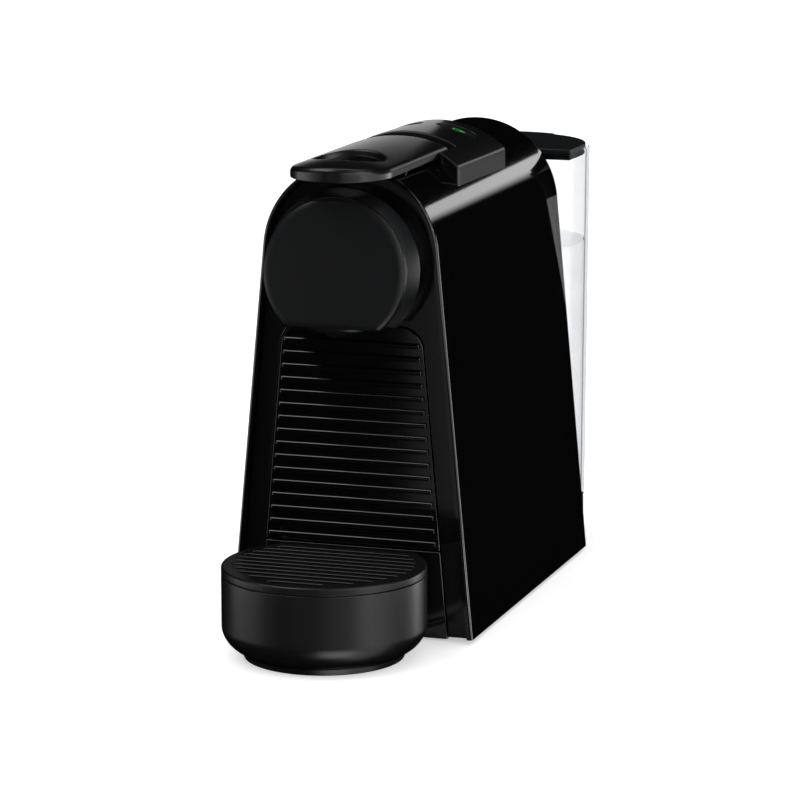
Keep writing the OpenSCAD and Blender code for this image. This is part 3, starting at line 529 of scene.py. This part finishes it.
# ---------------------------------------------------------------- rear cover, feet, gland
vents = [circle(x, z, 1.6, 16)[::-1] for z in range(60, 133, 9) for x in (-18, 0, 18)]
rear_plan = [[arch_point(WALL + 0.12, s) for s in S_VALUES], circle(0, 12, 5, 24)[::-1],
             circle(37, 10.5, 5, 24)[::-1]]
rear = slab("Rear_cover", rear_plan + vents, 93.3, 91.3, MAT["matt_black"], "machine", edge=0.4,
            place=back, step=8)
done(rear, "matt_black", "rear_cover")
gland = slab("Cord_gland", [circle(37, 10.5, 5.8, 32), circle(37, 10.5, 3.6, 24)[::-1]], 94.7, 89.3,
             MAT["rubber"], "machine", edge=0.5, foot=0.3, place=back)
done(gland, "rubber", "cord_gland")
for i, (x, y) in enumerate([(40, -68), (-40, -68), (40, 80), (-40, 80)]):
    foot = slab(f"Foot_{i}", [circle(x, -y, 7, 32)], 0.0, -2.3, MAT["rubber"], "machine", edge=0.5,
                place=down)
    done(foot, "rubber", *(["rubber_feet"] if i == 0 else []))


# ---------------------------------------------------------------- brew head
def flat_disc(r, z, corner):
    """Disc outline with a flat bottom at height z, anticlockwise in x and z."""
    half = math.sqrt(r * r - (HEAD_Z - z) ** 2)
    a = math.degrees(math.asin((HEAD_Z - z) / r))
    # corner circle tangent to the disc inside and to the flat
    cz = z + corner
    cx = math.sqrt((r - corner) ** 2 - (HEAD_Z - cz) ** 2)
    ca = math.degrees(math.atan2(cz - HEAD_Z, cx))
    right = arc(cx, cz, corner, -90, ca, 8)
    top = arc(0, HEAD_Z, r, ca, 180 - ca, 150)[1:-1]
    left = [(-u, v) for u, v in reversed(right)]
    return right + top + left


# (radius, height of the flat, corner, y) from the cover back to the fascia
skirt = [(28.7, 136.2, 2.4, -105.0), (28.7, 136.2, 2.4, -103.9), (29.7, 135.6, 2.6, -103.75),
         (30.7, 134.9, 2.4, -102.0), (31.7, 134.3, 2.2, -99.6), (32.55, 133.75, 2.0, -97.2),
         (33.0, 133.4, 2.0, -95.6), (DRUM_R, 133.25, 2.0, -94.95), (33.05, 133.3, 2.0, -94.5),
         (32.2, 133.8, 2.0, -94.0), (30.6, 134.4, 2.0, -92.0), (30.0, 134.8, 2.0, -88.0),
         (29.8, 135.0, 2.0, -84.6)]
drum = loft("Head_drum", [[(u, y, v) for u, v in flat_disc(r, z, c)] for r, z, c, y in skirt],
            MAT["satin_black"], "machine", sharp=35)
done(drum, "satin_black", "head_drum")


def cover_face(u, v):
    return FACE_FRONT - (v - HEAD_Z) * math.tan(FACE_LEAN) - FACE_CROWN * (u * u + (v - HEAD_Z) ** 2)


cover = slab("Head_cover", [flat_disc(COVER_R, 134.4, 3.2)], cover_face, 104.0, MAT["satin_black"],
             "machine", edge=0, edges={0: [(d * 1.9, h) for d, h in fillet(1.7, 14)]}, foot=0.3,
             place=front, step=2.2, spacing=4)
done(cover, "satin_black", "head_cover")
saucer_profile = [(0.45, 131.9), (0.62, 132.0), (0.8, 132.4), (0.93, 133.2), (1.0, 134.2), (1.0, 135.2)]
saucer = lathe("Spout_saucer", saucer_profile, (0, SPOUT_Y), MAT["tray_black"], "machine", n=72,
               sx=13.6, sy=7.2)
done(saucer, "satin_black", "spout")
nozzle_profile = [(2.3, 134.0), (2.4, 130.9), (2.7, 130.5), (3.2, 130.4), (3.9, 130.7), (4.6, 131.5),
                  (5.4, 132.3), (5.8, 133.2)]
nozzle = lathe("Spout_nozzle", nozzle_profile, (0, SPOUT_Y), MAT["piano_black"], "machine", n=48)
done(nozzle, "satin_black")


# ---------------------------------------------------------------- saddle and buttons
def saddle_top(u, v):
    return SADDLE_TOP - SADDLE_R + math.sqrt(SADDLE_R ** 2 - u * u)


def shell_top(u, v):
    return ARCH_Z + math.sqrt(ARCH_R ** 2 - u * u) - 0.15


def oval(cx, cy, half, r, n=16):
    return arc(cx + half - r, cy, r, -90, 90, n) + arc(cx - half + r, cy, r, 90, 270, n)


plan = rounded([(SADDLE_HALF, EAR_Y0, 0.8), (SADDLE_HALF, SADDLE_Y1, 2.2), (-SADDLE_HALF, SADDLE_Y1, 2.2),
                (-SADDLE_HALF, EAR_Y0, 0.8), (-EAR_X, EAR_Y0, 0.5), (-EAR_X, SADDLE_Y0, 0.5),
                (EAR_X, SADDLE_Y0, 0.5), (EAR_X, EAR_Y0, 0.5)], 5)
saddle = slab("Control_saddle", [plan] + [oval(s * BUTTON_X, BUTTON_Y, 9.2, 5.2)[::-1] for s in (-1, 1)],
              saddle_top, shell_top, MAT["piano_black"], "machine", edge=0.45, edges={0: fillet(0.9, 6)},
              step=1.6, spacing=2.6)
for s in (-1, 1):
    ear = [(23.0, 194.2), (29.3, 188.0), (29.3, 192.6), (23.0, 197.2)]
    pts = [(s * u, v) for u, v in ear]
    cut(saddle, cutter(pts if s > 0 else pts[::-1], 33.8, 36, front))
done(saddle, "gloss_black", "control_saddle")


def button_top(u, v, lift=0.0):
    """Slightly dished button face, lift above it."""
    dish = max(0, 1 - ((abs(u) - BUTTON_X) / 9) ** 2 - ((v - BUTTON_Y) / 5) ** 2)
    return saddle_top(u, v) - BUTTON_DROP - BUTTON_DISH * dish + lift


def raised(lift):
    return lambda u, v: button_top(u, v, lift)


for name, s in (("long_button", 1), ("short_button", -1)):
    button = slab("Cap_" + name, [oval(s * BUTTON_X, BUTTON_Y, 9.0, 5.0)], button_top, 195.6,
                  MAT["satin_black"], name, edge=0.4, step=1.2, spacing=1.6)
    done(button, "satin_black", name)
    # a plain cup with a handle, lit more brightly on the long button
    cx, cy = s * BUTTON_X, BUTTON_Y
    outer = rounded([(cx - 1.5, cy - 1.9, 0.5), (cx + 1.5, cy - 1.9, 0.5), (cx + 2.2, cy + 1.9, 0.1),
                     (cx - 2.2, cy + 1.9, 0.1)], 3)
    inner = rounded([(cx - 1.05, cy - 1.3, 0.3), (cx + 1.05, cy - 1.3, 0.3), (cx + 1.55, cy + 1.4, 0.1),
                     (cx - 1.55, cy + 1.4, 0.1)], 3)[::-1]
    tone = MAT["icon"] if s > 0 else MAT["icon_dim"]
    done(slab("Icon_cup_" + name, [outer, inner], raised(0.05), raised(-0.1), tone, name,
              edge=0.02, step=0.8), "light_green")
    ring_out, ring_in = circle(cx + 2.6, cy + 0.2, 1.15, 20), circle(cx + 2.6, cy + 0.2, 0.65, 20)[::-1]
    done(slab("Icon_handle_" + name, [ring_out, ring_in], raised(0.04), raised(-0.1), tone,
              name, edge=0.02, step=0.8), "light_green")


# ---------------------------------------------------------------- lever
def lever_surface(u, v):
    """Top of the lever: crowned across, tipped slightly down to the front, its nose drooping."""
    crown = LEVER_TOP - LEVER_CROWN + math.sqrt(LEVER_CROWN ** 2 - u * u)
    ahead = min(0.0, v - PIV_Y)
    return crown + ahead * math.tan(LEVER_SLOPE) - NOSE_DROOP * max(0.0, LEVER_FRONT - v) ** 2


def lever_bottom(u, v):
    ahead = min(0.0, v - PIV_Y)
    return SKIRT_Z + 0.25 + ahead * math.tan(LEVER_SLOPE) - SKIRT_DROOP * (ahead / LEVER_REACH) ** 2


wrap = (LEVER_TOP - PIV_Z) * math.pi / 2
lever_plan = arc(0, LEVER_FRONT, LEVER_HALF, 180, 360, 96)
lever_plan += [(LEVER_HALF, PIV_Y + wrap), (-LEVER_HALF, PIV_Y + wrap)]
hole = circle(0, FINGER_Y, 11.0, 96)[::-1]
bowl = [(0.0, 5.6), (0.0, 5.35), (0.5, 5.2), (1.6, 4.8), (2.6, 4.1), (3.3, 3.1), (3.75, 2.0), (4.05, 1.0),
        (4.25, 0.45), (4.5, 0.12), (4.8, 0.0)]
lever = slab("Lever_top", [lever_plan, hole], lever_surface, lever_bottom, MAT["piano_black"], "lever",
             edge=1.0, edges={0: fillet(1.8, 8), 1: bowl}, foot=0.4,
             hollow=(2.0, lambda u, v: lever_surface(u, v) - 2.4), place=bend, step=1.8, spacing=2.6)
done(lever, "gloss_black", "lever")


def hull(points):
    """Convex outline, anticlockwise."""
    pts = sorted(set(points))

    def half(seq):
        out = []
        for p in seq:
            while len(out) > 1 and ((out[-1][0] - out[-2][0]) * (p[1] - out[-2][1])
                                    - (out[-1][1] - out[-2][1]) * (p[0] - out[-2][0])) <= 1e-9:
                out.pop()
            out.append(p)
        return out[:-1]

    return half(pts) + half(reversed(pts))


crank = (PIV_Y + 11 * math.cos(math.radians(-62)), PIV_Z + 11 * math.sin(math.radians(-62)))
for s, tag in ((1, "right"), (-1, "left")):
    w0, w1 = (14.3, 16.9) if s > 0 else (-16.9, -14.3)
    arm = hull(circle(PIV_Y, PIV_Z, 4.6, 32) + circle(crank[0], crank[1], 4, 32))
    done(slab("Crank_arm_" + tag, [arm], w1, w0, MAT["piano_black"], "lever", edge=0.4, foot=0.4,
              place=side), "gloss_black")
    web = [(PIV_Y - 10.1, 197.0), (PIV_Y - 4, PIV_Z - 2), (PIV_Y + 4.6, PIV_Z), (PIV_Y + 4.6, 200.9),
           (PIV_Y - 10.1, 200.5)]
    done(slab("Crank_web_" + tag, [web], w1, w0, MAT["piano_black"], "lever", edge=0.3, foot=0.3,
              place=side), "gloss_black")
    b0, b1 = (16.8, 21.4) if s > 0 else (-21.4, -16.8)
    done(slab("Pivot_boss_" + tag, [circle(PIV_Y, PIV_Z, 3.6, 32)], b1, b0, MAT["piano_black"], "lever",
              edge=0.3, foot=0.3, place=side), "gloss_black")


# ---------------------------------------------------------------- capsule container
def panel_outline(z0, z1, corner):
    return rounded([(-panel_half(z0), z0, 0.3), (panel_half(z0), z0, 0.3), (panel_half(z1), z1, corner),
                    (-panel_half(z1), z1, corner)], 12)


panel = slab("Container_front", [panel_outline(38.7, 132, 10)], PANEL_FRONT, PANEL_BACK,
             MAT["gloss_black"], "capsule_container", edge=0.45, place=front, step=6)
cut(panel, cutter(circle(0, 136.6, 7.5, 48), 80, 90, front))
done(panel, "gloss_black", "capsule_container")
for i in range(RIB_COUNT):
    z = RIB_TOP - i * RIB_PITCH
    half = panel_half(z) - 1.3
    bar = [(-half, z - RIB_HALF, 0.5), (half, z - RIB_HALF, 0.5), (half, z + RIB_HALF, 0.5),
           (-half, z + RIB_HALF, 0.5)]
    rib = slab(f"Container_rib_{i:02d}", [rounded(bar, 4)], 86.2, 84.5, MAT["gloss_black"],
               "capsule_container", edge=0.85, place=front, step=20)
    done(rib, "gloss_black")
bin_plan = rounded([(-29.5, 32.0, 3), (29.5, 32.0, 3), (29.5, 82.8, 1), (-29.5, 82.8, 1)], 6)
flange_plan = rounded([(-38.2, 32.0, 1), (38.2, 32.0, 1), (38.2, 82.8, 1), (-38.2, 82.8, 1)], 4)
flanges = slab("Container_flanges", [flange_plan, [(-28, 34), (-28, 82), (28, 82), (28, 34)]], -39.2, -40.8,
               MAT["satin_black"], "capsule_container", edge=0.3, foot=0.3, place=down)
done(flanges, "satin_black")
bin_ = slab("Container_bin", [bin_plan], -39.2, -118, MAT["satin_black"], "capsule_container", edge=1.2,
            foot=0.5, hollow=(1.8, -41), place=down)
done(bin_, "satin_black")


# ---------------------------------------------------------------- drip tray and grid
def tray_ring(r, z, cut_y=TRAY_CUT):
    """Round outline cut off straight at the back, anticlockwise seen from above."""
    d = cut_y - TRAY_Y
    a = math.degrees(math.acos(min(1, d / r)))
    # from the left end of the back edge, round the front, to its right end
    around = arc(0, TRAY_Y, r, 90 + a, 450 - a, 120)
    right, left = around[-1][0], around[0][0]
    across = [(right + (left - right) * j / 16, cut_y) for j in range(1, 16)]
    return [(x, y, z) for x, y in around + across]


outside = [(32.6, 0.0), (33.0, 0.15), (33.2, 0.5), (33.3, 2.3), (33.6, 2.7), (34.1, 2.9)]
for k in range(1, 15):
    a = math.radians(62 * (1 - k / 14))
    outside.append((42.3 - 17.5 * (1 - math.cos(a)) * 0.86,
                    13.6 - 12.2 * math.sin(a) / math.sin(math.radians(62)) * 0.86))
outside += [(42.3, 20), (42.3, 28), (42.3, TRAY_TOP - 0.55), (42.22, TRAY_TOP - 0.28),
            (42.05, TRAY_TOP - 0.12), (41.8, TRAY_TOP - 0.05)]
within = [(40.6, TRAY_TOP - 0.05), (40.3, TRAY_TOP - 0.4), (40.3, 14), (38.5, 8), (34, 4), (31, 3)]
tray_rings = [tray_ring(r, z) for r, z in outside]
tray_rings += [tray_ring(r, z, TRAY_CUT - 2) for r, z in within]
tray = loft("Tray_bowl", tray_rings, MAT["tray_black"], "drip_tray", sharp=50)
done(tray, "satin_black", "drip_tray")
neck_plan = rounded([(-27, 0.8, 1), (27, 0.8, 1), (27, 34.9, 0.5), (-27, 34.9, 0.5)], 4)
tray_neck = slab("Tray_neck", [neck_plan], 88.6, 84, MAT["gloss_black"], "drip_tray", edge=0.2, place=front)
done(tray_neck, "satin_black")
low_panel = slab("Tray_panel", [panel_outline(1.0, 38.1, 0.3)], PANEL_FRONT, PANEL_BACK,
                 MAT["gloss_black"], "drip_tray", edge=0.45, place=front, step=6)
done(low_panel, "satin_black")
drawer_plan = rounded([(-38.8, 32, 3), (38.8, 32, 3), (38.8, 83, 1), (-38.8, 83, 1)], 6)
drawer = slab("Tray_drawer", [drawer_plan], -4.9, -36.6, MAT["satin_black"], "drip_tray", edge=1.2,
              foot=0.4, hollow=(2.0, -7), place=down)
done(drawer, "satin_black")

grid_outline = [(x, y) for x, y, _ in tray_ring(TRAY_R, 0)]
slots = []
for i in range(SLOT_COUNT):
    y = TRAY_Y + (i - 6) * SLOT_PITCH
    if y + 3 >= TRAY_CUT - 1:
        continue
    reach = math.sqrt(max(1, (TRAY_R - 4) ** 2 - (abs(y - TRAY_Y) + SLOT_HALF) ** 2))
    slots.append(oval(0, y, reach, SLOT_HALF, 6)[::-1])
grid = slab("Drip_grid", [grid_outline] + slots, GRID_TOP, TRAY_TOP + 0.15, MAT["tray_black"], "drip_grid",
            edge=0.45, edges={0: fillet(0.9, 6)}, foot=0.25, step=3)
done(grid, "satin_black", "drip_grid")


# ---------------------------------------------------------------- water tank
def tank_outline(t, y0=None):
    """Straight front, round back, moved inwards by t, anticlockwise from above."""
    r = TANK_R - t
    f = (TANK_Y0 + t) if y0 is None else y0
    c = max(0.6, 3.0 - t)
    return rounded([(-r, f, c), (r, f, c), (r, TANK_Y, 0)], 5)[:-1] + arc(0, TANK_Y, r, 0, 180, 96)


def tapered(u, v, w):
    """Moulding draft: the tank is a little narrower at the bottom."""
    f = 1 - TANK_TAPER * max(0.0, TANK_Z1 - w)
    return (u * f, TANK_Y + (v - TANK_Y) * f, w)


def tapered_down(u, v, w):
    return tapered(u, -v, -w)


def flipped(loop):
    return [(u, -v) for u, v in reversed(loop)]


tank = slab("Tank", [flipped(tank_outline(0))], -TANK_Z0, -TANK_Z1, MAT["clear_tank"], "water_tank",
            edge=2.0, foot=0.5, hollow=(TANK_T, -(TANK_Z0 + 2.4)), place=tapered_down, step=2.5)
done(tank, "clear_tank", "water_tank")
spigot = lathe("Tank_spigot", [(6, 10.2), (7.8, 10), (8, 10.4), (8, 18.05)], (0, TANK_Y),
               MAT["clear_tank"], "water_tank")
done(spigot, "clear_tank")
water = slab("Water", [tank_outline(TANK_T + 0.06)], WATER_Z, TANK_Z0 + 2.5, MAT["water"], "water_tank",
             edge=0.0, place=tapered, step=2.5)
done(water, "clear_tank")
lid_plan = tank_outline(TANK_T + 0.15)
lid = slab("Tank_lid_plate", [lid_plan], TANK_Z1 + 1.6, TANK_Z1 - 0.3, MAT["satin_black"], "tank_lid",
           edge=0.5, step=2.5)
done(lid, "satin_black", "tank_lid")
plug = slab("Tank_lid_plug", [flipped(tank_outline(TANK_T + 0.6))], -(TANK_Z1 - 3.4), -(TANK_Z1 - 0.2),
            MAT["satin_black"], "tank_lid", edge=0.4, place=down, step=2.5)
done(plug, "satin_black")
tab_angle = math.degrees(math.acos(TAB_HALF / (TANK_R - 0.2)))
tab_plan = [(-TAB_HALF, TANK_Y + 30), (TAB_HALF, TANK_Y + 30)]
tab_plan += arc(0, TANK_Y, TANK_R - 0.2, tab_angle, 180 - tab_angle, 24)
tab = slab("Tank_lid_tab", [tab_plan], TANK_Z1 + 1.7, TANK_Z1 + 0.15, MAT["satin_black"], "tank_lid",
           edge=0.5)
done(tab, "satin_black")
dock = slab("Tank_dock", [tank_outline(1.2, 93.6)], 17.6, 0.0, MAT["matt_black"], "machine", edge=0.8,
            foot=0.4, step=2.5)
cut(dock, cutter(box(-41.5, -32.5, 80, 200), -1, 16.2, flat))
done(dock, "matt_black", "tank_dock")

# ---------------------------------------------------------------- studio
scene = bpy.context.scene
scene.view_settings.view_transform = "Standard"
world = bpy.data.worlds.new("World")
scene.world = world
world.use_nodes = True
world.node_tree.nodes["Background"].inputs["Color"].default_value = (0.02, 0.021, 0.022, 1)
world.node_tree.nodes["Background"].inputs["Strength"].default_value = 0.1


def glow(name, strength, fade=None):
    """Emission; fade is the part of the card's height, 0 to 1, over which its light rises to full."""
    m = bpy.data.materials.new(name)
    m.use_nodes = True
    m.node_tree.nodes.clear()
    new, link = m.node_tree.nodes.new, m.node_tree.links.new
    e = new("ShaderNodeEmission")
    e.inputs["Color"].default_value = (1, 1, 1, 1)
    e.inputs["Strength"].default_value = strength
    if fade:
        where, split = new("ShaderNodeTexCoord"), new("ShaderNodeSeparateXYZ")
        span = new("ShaderNodeMapRange")
        link(where.outputs["Generated"], split.inputs[0])
        link(split.outputs["Z"], span.inputs["Value"])
        span.interpolation_type = "SMOOTHSTEP"
        span.inputs["From Min"].default_value, span.inputs["From Max"].default_value = fade
        span.inputs["To Min"].default_value, span.inputs["To Max"].default_value = 0.0, strength
        link(span.outputs["Result"], e.inputs["Strength"])
    out = new("ShaderNodeOutputMaterial")
    link(e.outputs[0], out.inputs["Surface"])
    return m


def reflector(name, verts, faces, strength, fade):
    """Glowing sheet that only reflections see."""
    mesh = bpy.data.meshes.new(name)
    mesh.from_pydata(verts, [], faces)
    obj = bpy.data.objects.new(name, mesh)
    scene.collection.objects.link(obj)
    mesh.materials.append(glow(name, strength, fade))
    obj.visible_camera = obj.visible_diffuse = obj.visible_transmission = obj.visible_shadow = False


def card(name, az, el, strength, fade=None):
    """Far reflector. az is from the back towards the machine's right, el above the floor, in degrees."""
    n = 10
    verts, faces = [], []
    for i in range(n + 1):
        for j in range(n + 1):
            a = math.radians(az[0] + (az[1] - az[0]) * i / n)
            e = math.radians(el[0] + (el[1] - el[0]) * j / n)
            verts.append((CARD_DISTANCE * math.cos(e) * math.sin(a),
                          CARD_DISTANCE * math.cos(e) * math.cos(a),
                          CARD_CENTRE_Z + CARD_DISTANCE * math.sin(e)))
    for i in range(n):
        for j in range(n):
            faces.append([i * (n + 1) + j, (i + 1) * (n + 1) + j, (i + 1) * (n + 1) + j + 1,
                          i * (n + 1) + j + 1])
    reflector(name, verts, faces, strength, fade)


def near_card(name, x, y, z, strength, fade):
    """Small upright reflector close behind the machine, in millimetres, that shades the lever's top."""
    corners = [(x[0] * MM, y * MM, z[0] * MM), (x[1] * MM, y * MM, z[0] * MM),
               (x[1] * MM, y * MM, z[1] * MM), (x[0] * MM, y * MM, z[1] * MM)]
    reflector(name, corners, [[0, 1, 2, 3]], strength, fade)


bpy.ops.mesh.primitive_uv_sphere_add(segments=48, ring_count=24, radius=9, location=(0, 0, 0))
dome = bpy.context.object
dome.name = "Backdrop"
dome.data.materials.append(glow("white_backdrop", BACKDROP_LEVEL))
dome.visible_glossy = False
# a ray that has been reflected does not see the backdrop
tree = dome.data.materials[0].node_tree
path, once = tree.nodes.new("ShaderNodeLightPath"), tree.nodes.new("ShaderNodeMath")
once.operation = "LESS_THAN"
once.inputs[1].default_value = 0.5
tree.links.new(path.outputs["Glossy Depth"], once.inputs[0])
level = tree.nodes.new("ShaderNodeMath")
level.operation = "MULTIPLY"
level.inputs[1].default_value = BACKDROP_LEVEL
tree.links.new(once.outputs[0], level.inputs[0])
tree.links.new(level.outputs[0], tree.nodes["Emission"].inputs["Strength"])
bpy.ops.mesh.primitive_circle_add(vertices=96, radius=2.4, fill_type="NGON", location=(0, 0, 0))
ground = bpy.context.object
ground.name = "Floor"
pale = material("white_floor", (0.8, 0.8, 0.8), 0.9, wear=0.02, emission=((1, 1, 1), 0.45))
pale.cycles.emission_sampling = "NONE"
ground.data.materials.append(pale)
ground.visible_glossy = False

card("card_shoulder", (4, 26), (6.5, 13.4), 2.2, fade=(0.0, 0.55))
card("card_edge", (30, 46), (-17, 5), 5)
card("card_right", (84, 126), (-72, 52), 1.6)
card("card_rim", (108, 121), (-20, 52), 14)
card("card_low_right", (126, 166), (-60, -30), 5)
card("card_side", (46, 84), (-16, 3), 2.0)
card("card_left", (-128, -82), (-16, 2), 2.2)
card("card_front_right", (128, 162), (-6, 22), 2.0)
card("card_front", (175, 197), (-18, -2), 0.35)
card("card_front_left", (-150, -122), (-12, 8), 0.9)
card("card_top_left", (-165, -95), (42, 76), 4.5)
card("card_top", (-90, 90), (60, 88), 1.2)
near_card("card_lever", (-125, -18), 100, (150, 262), 2.0, (1.0, 0.25))


def area(name, place, aim, size, power):
    data = bpy.data.lights.new(name, "AREA")
    data.shape = "RECTANGLE"
    data.size, data.size_y = size
    data.energy = power
    obj = bpy.data.objects.new(name, data)
    scene.collection.objects.link(obj)
    obj.location = place
    obj.rotation_euler = (Vector(aim) - Vector(place)).to_track_quat("-Z", "Y").to_euler()
    obj.visible_camera = obj.visible_glossy = obj.visible_transmission = False


area("key", (-0.9, -1.2, 1.8), (0, 0, 0.1), (1.0, 1.0), 8)

camera = bpy.data.cameras.new("Camera")
camera.lens = 154.5
camera.sensor_width = 36
camera.clip_end = 50
cam = bpy.data.objects.new("Camera", camera)
scene.collection.objects.link(cam)
cam.location = (0.4594, -1.4110, 0.3718)
cam.rotation_euler = (math.radians(79.055), 0, math.radians(18.288))
scene.camera = cam
